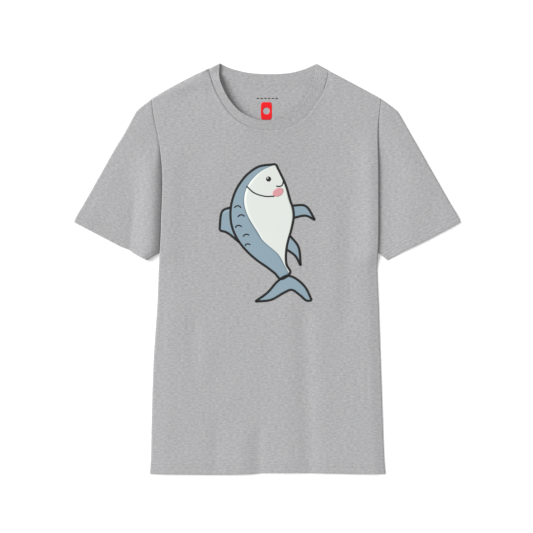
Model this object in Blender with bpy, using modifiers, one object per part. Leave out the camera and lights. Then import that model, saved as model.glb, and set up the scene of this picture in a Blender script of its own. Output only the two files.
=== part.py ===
"""A crew-neck T-shirt, adult size M, laid flat on its back on a table with its front up.

Frame: +Z up, +Y towards the neck, +X towards the wearer's left sleeve. The origin lies on the table
under the middle of the garment's bounding box. All values are in metres.

A maker cuts five pieces: a front, a back, two sleeves and a strip of rib for the neck. Each is one
object here, a wall of cloth CLOTH thick. The back lies flat on the table, the front lies on it, each
sleeve is a flattened tube beside them, and the neckband is a ring folded flat at the shoulders. Seams
are SEAM_GAP wide, so the pieces nearly touch and never overlap.
"""

import math

import bmesh
import bpy
import numpy as np

# Cloth and seams.
CLOTH = 0.0012                  # wall of every piece
SEAM_GAP = 0.0003               # clear space at a seam, and between layers that lie on each other
LAYER = CLOTH + SEAM_GAP        # from one layer's middle to the next
TABLE_LAYER = CLOTH / 2         # height of the middle of a layer that lies on the table
UPPER_LAYER = TABLE_LAYER + LAYER
FOLD_RADIUS = LAYER / 2         # at a fold, from the middle of the wall to the fold's axis
FOLD_INSET = FOLD_RADIUS + CLOTH / 2    # from a fold's outer face in to its axis

# Body outline: half-widths (x) at heights along the body (y), from the hem to the shoulder point. The
# wearer's right side is drawn in a little more at the armhole than the left one.
BODY_EDGE_RIGHT = [
    (0.2110, -0.3680), (0.2089, -0.3300), (0.2076, -0.2650), (0.2057, -0.1970), (0.2032, -0.1450),
    (0.1974, -0.0600), (0.1952, -0.0050), (0.1932, 0.0330), (0.1913, 0.0660), (0.1906, 0.0950),
    (0.1888, 0.1330), (0.1888, 0.1750), (0.1935, 0.2250), (0.2020, 0.2680), (0.2055, 0.2880),
    (0.2070, 0.3068),
]
BODY_EDGE_LEFT = [
    (0.2120, -0.3680), (0.2094, -0.3300), (0.2071, -0.2650), (0.2025, -0.1350), (0.1996, -0.0520),
    (0.1977, -0.0050), (0.1989, 0.0270), (0.2002, 0.0660), (0.2000, 0.1800), (0.1988, 0.2350),
    (0.1998, 0.2640), (0.2023, 0.2870), (0.2040, 0.3068),
]
HEM_LINE = [
    (-0.2110, -0.3680), (-0.1230, -0.3689), (-0.0790, -0.3691), (-0.0290, -0.3678), (0.0040, -0.3657),
    (0.1050, -0.3664), (0.1550, -0.3678), (0.2120, -0.3680),
]
UNDERARM_Y = 0.0300             # where each sleeve's lower fold leaves the body
SHOULDER_BOW = 0.0005           # how far each shoulder bows up from a straight line

# Neck: the seam that joins the rib to the panels, and the rib's free edge, from the wearer's right
# shoulder to the left one. The front is scooped, the back is shallow.
FRONT_NECK_SEAM = [
    (-0.1053, 0.3610), (-0.0990, 0.3360), (-0.0880, 0.3120), (-0.0700, 0.2840), (-0.0460, 0.2625),
    (-0.0160, 0.2515), (0.0200, 0.2505), (0.0500, 0.2598), (0.0760, 0.2815), (0.0960, 0.3120),
    (0.1045, 0.3340), (0.1098, 0.3586),
]
FRONT_NECK_EDGE = [
    (-0.0856, 0.3709), (-0.0870, 0.3440), (-0.0805, 0.3240), (-0.0680, 0.3030), (-0.0480, 0.2822),
    (-0.0200, 0.2690), (0.0060, 0.2655), (0.0290, 0.2705), (0.0520, 0.2868), (0.0690, 0.3075),
    (0.0825, 0.3370), (0.0887, 0.3699),
]
BACK_NECK_SEAM = [
    (-0.1053, 0.3610), (-0.0800, 0.3458), (-0.0400, 0.3345), (0.0000, 0.3312), (0.0400, 0.3345),
    (0.0800, 0.3450), (0.1098, 0.3586),
]
BACK_NECK_EDGE = [
    (-0.0856, 0.3709), (-0.0680, 0.3615), (-0.0340, 0.3525), (0.0040, 0.3500), (0.0400, 0.3520),
    (0.0680, 0.3598), (0.0887, 0.3699),
]
NECK_CENTRE = (0.0, 0.3580)     # the front neck seam is close to a circle about this point
NECK_RADIUS = 0.1070
RIB_WIDTH = 0.0190
DRAWN_IN_SHARE = 0.12           # of the neck's length at each end over which the band is drawn in

# Sleeve outline: the upper fold from the shoulder point to the cuff, and the cuff's two corners. Both
# sleeves share it, with x measured away from the body's middle.
SLEEVE_FOLD = [
    (0.2171, 0.2987), (0.2285, 0.2895), (0.2375, 0.2790), (0.2500, 0.2574), (0.2623, 0.2356),
    (0.2749, 0.2147), (0.3240, 0.1282), (0.3430, 0.0960),
]
CUFF_TIP = (0.3474, 0.0850)
CUFF_CORNER = (0.2160, 0.0162)
SLEEVE_TUCK = 0.0040            # how far the sleeve's upper layer runs in under the front panel
TUCK_FADE = 0.10                # share of the armhole at each end over which the tuck comes and goes,
TUCK_START, TUCK_END = 0.10, 0.92       # and where it does so

# Heights of the cloth above the layer below it.
PUFF = 0.0025                   # air under the front panel
PUFF_RUN = 0.0350               # distance from an edge at which the panel reaches it
SLEEVE_PUFF = 0.0022
SLEEVE_RUN = 0.0280
NECK_LIFT = 0.0038              # the front stands up towards the neck, most on the wearer's right
NECK_LIFT_RUN = 0.0500
COLLAR_STAND = 0.0042           # and the rib turns up further at its free edge
COLLAR_STAND_RUN = 0.0100
LEFT_SHARE = 0.30               # how much of that lift the wearer's left half of the neck has,
LEFT_START, LEFT_RUN = -0.02, 0.09      # and where across the neck it changes to that
LIFT_TURN = math.radians(38)    # angle down from the shoulders over which the lift comes in
ARMHOLE_BELOW, ARMHOLE_ABOVE = 0.03, 0.02   # heights over which the front's step over the sleeve fades

# The front's large soft folds: end points (x, y), half-width and height, a trough being negative.
FRONT_FOLDS = [
    ((0.066, -0.060), (0.076, -0.400), 0.016, -0.0016),
    ((0.030, -0.040), (0.034, -0.400), 0.020, 0.0008),
    ((-0.018, -0.270), (-0.020, -0.400), 0.012, -0.0012),
    ((-0.049, -0.270), (-0.050, -0.400), 0.016, 0.0009),
    ((-0.090, -0.250), (-0.094, -0.400), 0.012, -0.0009),
    ((-0.136, -0.070), (-0.136, -0.210), 0.014, -0.0009),
    ((0.143, 0.140), (0.139, -0.130), 0.018, -0.0012),
]
FOLD_FADE = 0.0500              # length over which a fold dies out at each end

# Cells of each grid. Pieces that share a seam share its count, so that their facets match.
SHOULDER_CELLS, NECK_CELLS = 6, 24
SIDE_CELLS, ARMHOLE_CELLS = 17, 12
SLEEVE_ROWS, RIB_ROWS, FOLD_STEPS = 10, 3, 4
STEP = 0.01                     # share of a curve's length, to read its direction
PANEL_COLUMNS = 2 * SHOULDER_CELLS + NECK_CELLS
PANEL_ROWS = SIDE_CELLS + ARMHOLE_CELLS

HEATHER_GREY = (0.445, 0.445, 0.450, 1.0)
RIB_GREY = (0.425, 0.425, 0.430, 1.0)


def smooth(t):
    """0 below 0, 1 above 1, and an even S between them."""
    t = min(max(t, 0.0), 1.0)
    return t * t * (3.0 - 2.0 * t)


def curve_through(points):
    """A smooth curve through the points, as a function of 0 to 1 measured along it."""
    knots = np.array(points, float)
    ends = 2 * knots[[0, -1]] - knots[[1, -2]]
    padded = np.vstack([ends[:1], knots, ends[1:]])
    share = np.linspace(0.0, 1.0, 12, endpoint=False)[:, None]
    pieces = []
    for before, start, end, after in zip(padded, padded[1:], padded[2:], padded[3:]):
        bend = 2 * before - 5 * start + 4 * end - after
        twist = 3 * start - before - 3 * end + after
        pieces.append(start + 0.5 * share * (end - before + share * (bend + share * twist)))
    line = np.vstack(pieces + [knots[-1:]])
    length = np.concatenate([[0.0], np.cumsum(np.linalg.norm(np.diff(line, axis=0), axis=1))])
    length /= length[-1]

    def at(t):
        return np.array([np.interp(t, length, line[:, 0]), np.interp(t, length, line[:, 1])])

    return at


def half_width_along(points):
    """A body outline as a function that gives its half-width at a height y."""
    curve = curve_through(points)
    line = np.array([curve(t) for t in np.linspace(0.0, 1.0, 120)])
    return lambda y: float(np.interp(y, line[:, 1], line[:, 0]))


def coons(bottom, top, left, right):
    """The patch that spans four edge curves, as a function of u (left to right) and v (bottom to top)."""
    corners = np.array([[bottom(0.0), bottom(1.0)], [top(0.0), top(1.0)]])

    def at(u, v):
        rails = (1 - v) * bottom(u) + v * top(u) + (1 - u) * left(v) + u * right(v)
        inner = (1 - u) * ((1 - v) * corners[0, 0] + v * corners[1, 0])
        inner = inner + u * ((1 - v) * corners[0, 1] + v * corners[1, 1])
        return rails - inner

    return at


RIGHT_EDGE = half_width_along(BODY_EDGE_RIGHT)
LEFT_EDGE = half_width_along(BODY_EDGE_LEFT)
HEM_Y = BODY_EDGE_RIGHT[0][1]
SHOULDER_Y = BODY_EDGE_RIGHT[-1][1]


def side_heights(row):
    """The height y at which a row of a panel's grid meets the side: even steps up to the underarm, then
    even steps up the armhole."""
    if row <= SIDE_CELLS:
        return HEM_Y + (UNDERARM_Y - HEM_Y) * row / SIDE_CELLS
    return UNDERARM_Y + (SHOULDER_Y - UNDERARM_Y) * (row - SIDE_CELLS) / ARMHOLE_CELLS


def distance_from_side(x, y):
    """How far in from the nearer side edge a point of the body lies; above the shoulder points the
    shoulders are the edge."""
    corner_x, corner_y = FRONT_NECK_SEAM[0] if x < 0 else FRONT_NECK_SEAM[-1]
    edge = RIGHT_EDGE(y) if x < 0 else LEFT_EDGE(y)
    if y > SHOULDER_Y:
        share = (y - SHOULDER_Y) / (corner_y - SHOULDER_Y)
        edge += (abs(corner_x) - edge) * min(share, 1.0)
    return max(edge - abs(x), 0.0)


def fold_height(x, y):
    """The height that the large folds add: across each a bell curve, along it a fade at both ends."""
    height = 0.0
    for (x0, y0), (x1, y1), half_width, rise in FRONT_FOLDS:
        along = np.array([x1 - x0, y1 - y0])
        length = np.linalg.norm(along)
        along /= length
        run = (x - x0) * along[0] + (y - y0) * along[1]
        aside = (x - x0) * along[1] - (y - y0) * along[0]
        fade = smooth(run / FOLD_FADE) * smooth((length - run) / FOLD_FADE)
        height += rise * fade * math.exp(-((aside / half_width) ** 2))
    return height


def neck_lift(x, y):
    """The stand of the front at the neck. It dies away with distance from the rib's free edge, and to
    nothing at the shoulders, where the neckband is folded flat."""
    across, down = x - NECK_CENTRE[0], NECK_CENTRE[1] - y
    past_edge = max(math.hypot(across, down) - NECK_RADIUS + RIB_WIDTH, 0.0)
    turn = smooth(math.atan2(down, abs(across)) / LIFT_TURN)
    side = 1.0 + (LEFT_SHARE - 1.0) * smooth((across - LEFT_START) / LEFT_RUN)
    slope = NECK_LIFT * math.exp(-past_edge / NECK_LIFT_RUN)
    stand = COLLAR_STAND * math.exp(-past_edge / COLLAR_STAND_RUN)
    return side * turn * (slope + stand)


def front_height(x, y):
    """Height of the middle of the front's wall, for the panel and for the rib sewn to it."""
    inset = smooth(distance_from_side(x, y) / PUFF_RUN)
    above_arm = smooth((y - UNDERARM_Y + ARMHOLE_BELOW) / ARMHOLE_BELOW)
    armhole = above_arm * smooth((SHOULDER_Y - y) / ARMHOLE_ABOVE)
    edge_step = LAYER * armhole * (1.0 - inset)
    return UPPER_LAYER + edge_step + (PUFF + fold_height(x, y)) * inset + neck_lift(x, y)


def neck_lines(seam_points, edge_points):
    """The seam and the free edge of one half of the neckband, as functions of 0 to 1 from the wearer's
    right shoulder to the left one. Near each shoulder both are drawn in a little, so that the fold
    there ends on the outline."""
    seam, edge = curve_through(seam_points), curve_through(edge_points)

    def drawn_in(line):
        def at(t):
            side = round(t)
            near = smooth(1.0 - abs(t - side) / DRAWN_IN_SHARE)
            return line(t) - off_shoulder(seam(side), edge(side)) * FOLD_INSET * near

        return at

    return drawn_in(seam), drawn_in(edge)


def off_shoulder(seam_end, edge_end):
    """The way up off the end of the folded band, square to its fold line."""
    line = edge_end - seam_end
    way = np.array([-line[1], line[0]]) / np.linalg.norm(line)
    return way if way[1] > 0 else -way


def panel_top(neck_curve):
    """A panel's upper edge as a function of u: shoulder, neck, shoulder, with a grid line at each
    corner."""
    first = SHOULDER_CELLS / PANEL_COLUMNS
    last = 1.0 - first

    def at(u):
        if first < u < last:
            return neck_curve((u - first) / (last - first))
        right_side = u <= first
        share = u / first if right_side else (1.0 - u) / first
        edge = RIGHT_EDGE if right_side else LEFT_EDGE
        point = np.array([edge(SHOULDER_Y) * (-1 if right_side else 1), SHOULDER_Y])
        corner = neck_curve(0.0 if right_side else 1.0)
        bow = np.array([0.0, SHOULDER_BOW * math.sin(math.pi * share)])
        return point + (corner - point) * share + bow

    return at


def panel_plan(seam):
    """A body panel laid flat: the patch between its hem, its two sides, and its shoulders and neck. The
    neck edge keeps SEAM_GAP to the rib."""

    def neck_curve(t):
        ahead = seam(min(t + STEP, 1.0)) - seam(max(t - STEP, 0.0))
        away = np.array([ahead[1], -ahead[0]]) / np.linalg.norm(ahead)
        return seam(t) + SEAM_GAP * away

    def height_at(v):
        return HEM_Y + v * (SHOULDER_Y - HEM_Y)

    return coons(
        curve_through(HEM_LINE),
        panel_top(neck_curve),
        lambda v: np.array([-RIGHT_EDGE(height_at(v)), height_at(v)]),
        lambda v: np.array([LEFT_EDGE(height_at(v)), height_at(v)]),
    )


def sleeve_ring(sign):
    """A sleeve as a flattened tube: a function of the step around it (upper layer, lower fold, lower
    layer, upper fold) and of v from the armhole to the cuff."""
    edge = RIGHT_EDGE if sign < 0 else LEFT_EDGE
    shoulder = (edge(SHOULDER_Y) + SEAM_GAP, SHOULDER_Y)
    fold = curve_through([shoulder] + SLEEVE_FOLD + [CUFF_TIP])
    start, corner = np.array([edge(UNDERARM_Y) + SEAM_GAP, UNDERARM_Y]), np.array(CUFF_CORNER)

    def underarm_edge(v):
        return start + (corner - start) * v

    def across(v):
        way = underarm_edge(v) - fold(v)
        return way / np.linalg.norm(way)

    def upper_rail(v):
        return fold(v) + FOLD_INSET * across(v)

    def lower_rail(v):
        return underarm_edge(v) - FOLD_INSET * across(v)

    def armhole(tuck):
        def at(u):
            y = SHOULDER_Y + u * (UNDERARM_Y - SHOULDER_Y)
            y = min(max(y, lower_rail(0.0)[1]), upper_rail(0.0)[1])
            under = tuck * smooth((u - TUCK_START) / TUCK_FADE) * smooth((TUCK_END - u) / TUCK_FADE)
            return np.array([edge(y) + SEAM_GAP - under, y])

        return at

    def cuff(u):
        return upper_rail(1.0) + u * (lower_rail(1.0) - upper_rail(1.0))

    upper = coons(armhole(SLEEVE_TUCK + SEAM_GAP), cuff, upper_rail, lower_rail)
    lower = coons(armhole(0.0), cuff, upper_rail, lower_rail)

    def upper_height(point, u, v):
        width = np.linalg.norm(lower_rail(v) - upper_rail(v))
        from_fold = smooth(min(u, 1.0 - u) * width / SLEEVE_RUN)
        from_body = smooth((point[0] - edge(point[1])) / SLEEVE_RUN)
        return UPPER_LAYER + SLEEVE_PUFF * from_fold * from_body

    def fold_arc(rail, v, step, outward):
        turn = math.pi * step / FOLD_STEPS
        point = rail(v) + outward * FOLD_RADIUS * math.sin(turn)
        return point, TABLE_LAYER + FOLD_RADIUS, FOLD_RADIUS * math.cos(turn)

    def at(step, v):
        if step <= ARMHOLE_CELLS:
            u = step / ARMHOLE_CELLS
            point = upper(u, v)
            return sign * point[0], point[1], upper_height(point, u, v)
        step -= ARMHOLE_CELLS
        if step <= FOLD_STEPS:
            point, axis, rise = fold_arc(lower_rail, v, step, across(v))
            return sign * point[0], point[1], axis + rise
        step -= FOLD_STEPS
        if step <= ARMHOLE_CELLS:
            point = lower(1.0 - step / ARMHOLE_CELLS, v)
            return sign * point[0], point[1], TABLE_LAYER
        step -= ARMHOLE_CELLS
        point, axis, rise = fold_arc(upper_rail, v, step, -across(v))
        return sign * point[0], point[1], axis - rise

    return at


def neckband_ring():
    """The neckband as a ring of rib: a function of the step around it (front, shoulder fold, back,
    shoulder fold) and of v from the seam to the free edge."""
    front = neck_lines(FRONT_NECK_SEAM, FRONT_NECK_EDGE)
    back = neck_lines(BACK_NECK_SEAM, BACK_NECK_EDGE)

    def ruled(lines, t, v):
        return lines[0](t) + v * (lines[1](t) - lines[0](t))

    def arc(side, share, v):
        """Half a turn about the fold line, from the front (share 0) down to the back (share 1)."""
        top, bottom = ruled(front, side, v), ruled(back, side, v)
        bulge = FOLD_RADIUS * math.sin(math.pi * share)
        point = top + (bottom - top) * share + off_shoulder(front[0](side), front[1](side)) * bulge
        return point[0], point[1], TABLE_LAYER + FOLD_RADIUS * (1.0 + math.cos(math.pi * share))

    def at(step, v):
        if step <= NECK_CELLS:
            t = step / NECK_CELLS
            point = ruled(front, t, v)
            return point[0], point[1], front_height(point[0], point[1])
        step -= NECK_CELLS
        if step <= FOLD_STEPS:
            return arc(1, step / FOLD_STEPS, v)
        step -= FOLD_STEPS
        if step <= NECK_CELLS:
            point = ruled(back, 1.0 - step / NECK_CELLS, v)
            return point[0], point[1], TABLE_LAYER
        step -= NECK_CELLS
        return arc(0, 1.0 - step / FOLD_STEPS, v)

    return at


def fabric(name, colour):
    material = bpy.data.materials.new(name)
    material.use_nodes = True
    shader = material.node_tree.nodes["Principled BSDF"]
    shader.inputs["Base Color"].default_value = colour
    shader.inputs["Roughness"].default_value = 0.95
    shader.inputs["Metallic"].default_value = 0.0
    return material


def wall_of_cloth(name, surface, columns, rows, material, ring=False):
    """An object with a grid of cells on surface(column, row), thickened by half of CLOTH to each side.
    A ring's last column is joined to its first."""
    grid = bmesh.new()
    bmesh.ops.create_grid(grid, x_segments=columns, y_segments=rows, size=0.5)
    for vertex in grid.verts:
        column = round((vertex.co.x + 0.5) * columns)
        row = round((vertex.co.y + 0.5) * rows)
        vertex.co = surface(column, row)
    if ring:
        bmesh.ops.remove_doubles(grid, verts=grid.verts, dist=1e-6)
    mesh = bpy.data.meshes.new(name)
    grid.to_mesh(mesh)
    grid.free()
    mesh.materials.append(material)
    mesh.shade_smooth()
    piece = bpy.data.objects.new(name, mesh)
    wall = piece.modifiers.new("wall", "SOLIDIFY")
    wall.thickness = CLOTH
    wall.offset = 0.0
    return piece


def make_panel(name, neck_seam, height, material):
    plan = panel_plan(neck_seam)

    def surface(column, row):
        y = side_heights(row)
        x, y = plan(column / PANEL_COLUMNS, (y - HEM_Y) / (SHOULDER_Y - HEM_Y))
        return x, y, height(x, y)

    return wall_of_cloth(name, surface, PANEL_COLUMNS, PANEL_ROWS, material)


def make_sleeve(name, sign, material):
    ring = sleeve_ring(sign)
    around = 2 * (ARMHOLE_CELLS + FOLD_STEPS)
    return wall_of_cloth(
        name, lambda step, row: ring(step, row / SLEEVE_ROWS), around, SLEEVE_ROWS, material, ring=True
    )


def make_neckband(name, material):
    ring = neckband_ring()
    around = 2 * (NECK_CELLS + FOLD_STEPS)
    return wall_of_cloth(
        name, lambda step, row: ring(step, row / RIB_ROWS), around, RIB_ROWS, material, ring=True
    )


def main():
    for old in list(bpy.data.objects):
        bpy.data.objects.remove(old, do_unlink=True)
    shirt = bpy.data.collections.new("t_shirt")
    bpy.context.scene.collection.children.link(shirt)
    jersey = fabric("heather grey jersey", HEATHER_GREY)
    rib = fabric("heather grey rib", RIB_GREY)
    front_seam, _ = neck_lines(FRONT_NECK_SEAM, FRONT_NECK_EDGE)
    back_seam, _ = neck_lines(BACK_NECK_SEAM, BACK_NECK_EDGE)
    pieces = [
        make_panel("back_panel", back_seam, lambda x, y: TABLE_LAYER, jersey),
        make_panel("front_panel", front_seam, front_height, jersey),
        make_sleeve("sleeve_right", -1, jersey),
        make_sleeve("sleeve_left", 1, jersey),
        make_neckband("neckband", rib),
    ]
    for piece in pieces:
        shirt.objects.link(piece)


main()
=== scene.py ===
# %% [markdown]
# # A heather grey T-shirt, laid flat
#
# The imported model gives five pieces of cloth: a front, a back, two sleeves and a neckband. They are plain
# walls that are right in size and place. This lesson makes the cloth itself around them: thin jersey with
# turned hems, soft folds and rolled edges, a ribbed collar that stands up, the stitching, and the ink of
# the print. Lengths are in millimetres until a mesh is made, because a sewing pattern is read in
# millimetres.

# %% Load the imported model
import math

import bpy
import numpy as np
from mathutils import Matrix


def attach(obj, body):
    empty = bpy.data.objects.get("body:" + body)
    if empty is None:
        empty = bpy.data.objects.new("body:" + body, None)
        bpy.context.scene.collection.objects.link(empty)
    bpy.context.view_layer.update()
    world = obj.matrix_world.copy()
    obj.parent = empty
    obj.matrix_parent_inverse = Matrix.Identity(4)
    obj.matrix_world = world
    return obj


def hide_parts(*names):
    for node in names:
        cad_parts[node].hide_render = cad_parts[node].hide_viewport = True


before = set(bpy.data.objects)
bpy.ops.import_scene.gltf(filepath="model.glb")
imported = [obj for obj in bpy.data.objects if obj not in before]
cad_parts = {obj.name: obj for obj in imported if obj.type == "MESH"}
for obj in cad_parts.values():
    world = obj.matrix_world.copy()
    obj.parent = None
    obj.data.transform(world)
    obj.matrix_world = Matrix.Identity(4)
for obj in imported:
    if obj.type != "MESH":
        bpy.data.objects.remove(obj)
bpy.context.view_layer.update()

MM = 0.001

# %% [markdown]
# ## Curves, patches and meshes
#
# A garment is flat pattern pieces, and each has four sides, so one tool makes them all: a Coons patch,
# which spans four edge curves with an even net of lines. It could be drawn as a polygon and filled, but
# then the cloth would have no rows to bend along a fold. The curves go through a few points with
# Catmull-Rom pieces, as a tailor's flexible rule would.


# %% Curves and patches
def smooth(t):
    """0 below 0, 1 above 1, and an even S between them."""
    t = np.clip(t, 0.0, 1.0)
    return t * t * (3.0 - 2.0 * t)


def rounded(t):
    """A quarter of a circle: it leaves 0 straight up and arrives level at 1."""
    return np.sqrt(1.0 - (1.0 - np.clip(t, 0.0, 1.0)) ** 2)


def bell(t):
    """1 at 0, falling off evenly to both sides."""
    return np.exp(-np.asarray(t) ** 2)


def curve_through(points):
    """A smooth curve through the points, as a function of 0 to 1 (an array) measured along it."""
    knots = np.array(points, float)
    padded = np.vstack([2 * knots[:1] - knots[1:2], knots, 2 * knots[-1:] - knots[-2:-1]])
    before, start, end, after = padded[:-3, None], padded[1:-2, None], padded[2:-1, None], padded[3:, None]
    share = np.linspace(0.0, 1.0, 40, endpoint=False)[None, :, None]
    bend = 2 * before - 5 * start + 4 * end - after
    twist = 3 * start - before - 3 * end + after
    pieces = start + 0.5 * share * (end - before + share * (bend + share * twist))
    line = np.vstack([pieces.reshape(-1, 2), knots[-1:]])
    length = np.concatenate([[0.0], np.cumsum(np.linalg.norm(np.diff(line, axis=0), axis=1))])
    place = length / length[-1]
    return lambda t: np.stack([np.interp(t, place, line[:, i]) for i in range(2)], axis=-1)


def coons(bottom, top, left, right):
    """The net that spans four edge curves: both pairs of opposite edges are blended, and the part that
    would be counted twice, the plain blend of the corners, is taken off."""

    def at(u, v):
        a, b = u[..., None], v[..., None]
        rails = (1 - b) * bottom(u) + b * top(u) + (1 - a) * left(v) + a * right(v)
        low = (1 - a) * bottom(np.zeros(1)) + a * bottom(np.ones(1))
        high = (1 - a) * top(np.zeros(1)) + a * top(np.ones(1))
        return rails - (1 - b) * low - b * high

    return at


def graded(length, first, largest, ends=2, growth=1.35):
    """Stations from 0 to 1 along a length in mm, close together at its start, or at both ends, where an
    edge rolls over, and at most `largest` apart between."""
    half = length / ends
    steps = [first]
    while sum(steps) < half:
        steps.append(min(steps[-1] * growth, largest))
    near = np.concatenate([[0.0], np.cumsum(steps)])
    near = near / near[-1] / ends
    return near if ends == 1 else np.concatenate([near, 1.0 - near[-2::-1]])


def distance_to(line, x, y):
    """The distance in mm of each point (x, y) from the nearest of a line's closely spaced points."""
    flat = np.stack([np.ravel(x), np.ravel(y)], axis=1)
    found = np.empty(len(flat))
    for start in range(0, len(flat), 4000):
        part = flat[start : start + 4000, None] - line[None]
        found[start : start + 4000] = np.sqrt((part**2).sum(axis=2).min(axis=1))
    return found.reshape(np.shape(x))


# %% Meshes from grids
def grid_faces(rows, columns, around=False, closed_rows=False):
    """The corners of each cell of a grid of points, joined up around or along where it closes."""
    row = np.arange(rows if closed_rows else rows - 1)[:, None]
    column = np.arange(columns if around else columns - 1)[None]
    next_row, next_column = (row + 1) % rows, (column + 1) % columns
    corners = [row * columns + column, row * columns + next_column]
    corners += [next_row * columns + next_column, next_row * columns + column]
    return np.stack(corners, axis=-1).reshape(-1, 4)


def put_mesh(name, points, faces, pattern, materials, wall=0.0, face_material=None):
    """An object from points (mm), quads, and each point's place on the pattern piece (mm), which becomes
    its UV map in metres. A wall in mm thickens an open sheet equally to both sides."""
    mesh = bpy.data.meshes.new(name)
    mesh.from_pydata((points * MM).tolist(), [], faces.tolist())
    layer = mesh.uv_layers.new(name="cut")
    layer.data.foreach_set("uv", (pattern[faces.ravel()] * MM).astype(np.float32).ravel())
    for material in materials:
        mesh.materials.append(material)
    if face_material is not None:
        mesh.polygons.foreach_set("material_index", face_material.astype(np.int32))
    mesh.shade_smooth()
    mesh.update()
    piece = bpy.data.objects.new(name, mesh)
    bpy.context.scene.collection.objects.link(piece)
    if wall:
        solid = piece.modifiers.new("wall", "SOLIDIFY")
        solid.thickness = wall * MM
        solid.offset = 0.0
    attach(piece, "root")
    print(f"{name}: {len(points)} points, {len(faces)} faces")
    return piece


def cloth_area(points, faces):
    """The area of a sheet in square metres."""
    a, b, c, d = (points[faces[:, i]] for i in range(4))
    return 0.5 * np.linalg.norm(np.cross(c - a, d - b), axis=1).sum() * MM * MM


# %% [markdown]
# ## The pattern
#
# These are the outlines of the laid shirt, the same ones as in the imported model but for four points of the
# front's neck lines, which are up to 1.1 mm nearer the middle: the body's two sides up to the shoulder
# points, the hem, the four lines of the neckband, and a sleeve. The wearer's right side is at -X.

# %% Outlines in mm
BODY_EDGE_RIGHT = [
    (211.0, -368.0), (208.9, -330.0), (207.6, -265.0), (205.7, -197.0), (203.2, -145.0), (197.4, -60.0),
    (195.2, -5.0), (193.2, 33.0), (191.3, 66.0), (190.6, 95.0), (188.8, 133.0), (188.8, 175.0),
    (193.5, 225.0), (202.0, 268.0), (205.5, 288.0), (207.0, 306.8),
]
BODY_EDGE_LEFT = [
    (212.0, -368.0), (209.4, -330.0), (207.1, -265.0), (202.5, -135.0), (199.6, -52.0), (197.7, -5.0),
    (198.9, 27.0), (200.2, 66.0), (200.0, 180.0), (198.8, 235.0), (199.8, 264.0), (202.3, 287.0),
    (204.0, 306.8),
]
HEM_LINE = [
    (-211.0, -368.0), (-123.0, -368.9), (-79.0, -369.1), (-29.0, -367.8), (4.0, -365.7), (105.0, -366.4),
    (155.0, -367.8), (212.0, -368.0),
]
FRONT_NECK_SEAM = [
    (-105.3, 361.0), (-98.2, 336.0), (-88.0, 312.0), (-70.0, 284.0), (-46.0, 262.5), (-16.0, 251.5),
    (20.0, 250.5), (50.0, 259.8), (76.0, 281.5), (96.0, 312.0), (104.5, 334.0), (109.8, 358.6),
]
FRONT_NECK_EDGE = [
    (-85.6, 370.9), (-86.0, 344.0), (-79.4, 324.0), (-67.5, 303.0), (-48.0, 282.2), (-20.0, 269.0),
    (6.0, 265.5), (29.0, 270.5), (52.0, 286.8), (69.0, 307.5), (82.5, 337.0), (88.7, 369.9),
]
BACK_NECK_SEAM = [
    (-105.3, 361.0), (-80.0, 345.8), (-40.0, 334.5), (0.0, 331.2), (40.0, 334.5), (80.0, 345.0),
    (109.8, 358.6),
]
BACK_NECK_EDGE = [
    (-85.6, 370.9), (-68.0, 361.9), (-34.0, 353.4), (4.0, 351.0), (40.0, 353.0), (68.0, 360.3),
    (88.7, 369.9),
]
SLEEVE_FOLD = {
    -1: [
        (217.2, 299.4), (230.0, 289.3), (236.2, 282.8), (250.0, 257.2), (262.2, 235.6), (275.2, 214.8),
        (324.0, 128.3), (343.0, 96.0),
    ],
    1: [
        (217.0, 298.0), (230.0, 287.8), (236.2, 281.6), (249.9, 257.6), (262.4, 235.6), (274.6, 214.6),
        (324.0, 128.0), (343.0, 96.0),
    ],
}
CUFF_TIP, CUFF_CORNER = (347.4, 85.0), (216.0, 16.2)
HEM_Y, UNDERARM_Y, SHOULDER_Y = -368.0, 30.0, 306.8
SHOULDER_BOW = {-1: 0.8, 1: 0.1}
BAND_STEP = {-1: 0.0, 1: 1.2}            # the folded band ends a little above the shoulder beside it

# %% Cloth and seams in mm
JERSEY = 0.6                    # wall of the jersey
SEAM = 0.3                      # clear space between the body and a sleeve
HEM_TURN = 19.0                 # how far the body's hem is turned up inside
CUFF_TURN = 19.0
TURN_RADIUS = 0.45              # of the middle of the wall at a turned edge
HEM_STITCHES = (10.5, 16.5)     # distance of the twin needle's two rows from the edge
CUFF_STITCHES = (10.0, 16.0)
ON_TABLE = JERSEY / 2
HEM_INSET = 0.8

curve_right, curve_left = curve_through(BODY_EDGE_RIGHT), curve_through(BODY_EDGE_LEFT)
along = np.linspace(0.0, 1.0, 900)
side_right, side_left = curve_right(along), curve_left(along)


def half_width(sign, y):
    """The body's half-width at a height y, on the wearer's right (-1) or left (1)."""
    side = side_right if sign < 0 else side_left
    return np.interp(y, side[:, 1], side[:, 0])


hem_line = curve_through(HEM_LINE)


def hem_curve(t):
    """The hem's fold line for the middle of the wall: half a wall and the roundness of the fold inside
    the outline."""
    return hem_line(t) + np.array([0.0, HEM_INSET])


front_seam, front_edge = curve_through(FRONT_NECK_SEAM), curve_through(FRONT_NECK_EDGE)
back_seam, back_edge = curve_through(BACK_NECK_SEAM), curve_through(BACK_NECK_EDGE)


def shoulder_line(sign, t):
    """The shoulder from its point (0) to the neck (1), bowed up a little."""
    point = np.array([sign * half_width(sign, SHOULDER_Y), SHOULDER_Y])
    corner = front_seam(np.array(0.0 if sign < 0 else 1.0)) - np.array([0.0, BAND_STEP[sign]])
    bow = SHOULDER_BOW[sign] * np.sin(np.pi * t)
    line = point + (corner - point) * t[..., None]
    line[..., 1] += bow
    return line


print("body at the hem, mm:", half_width(-1, HEM_Y) + half_width(1, HEM_Y))

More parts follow.
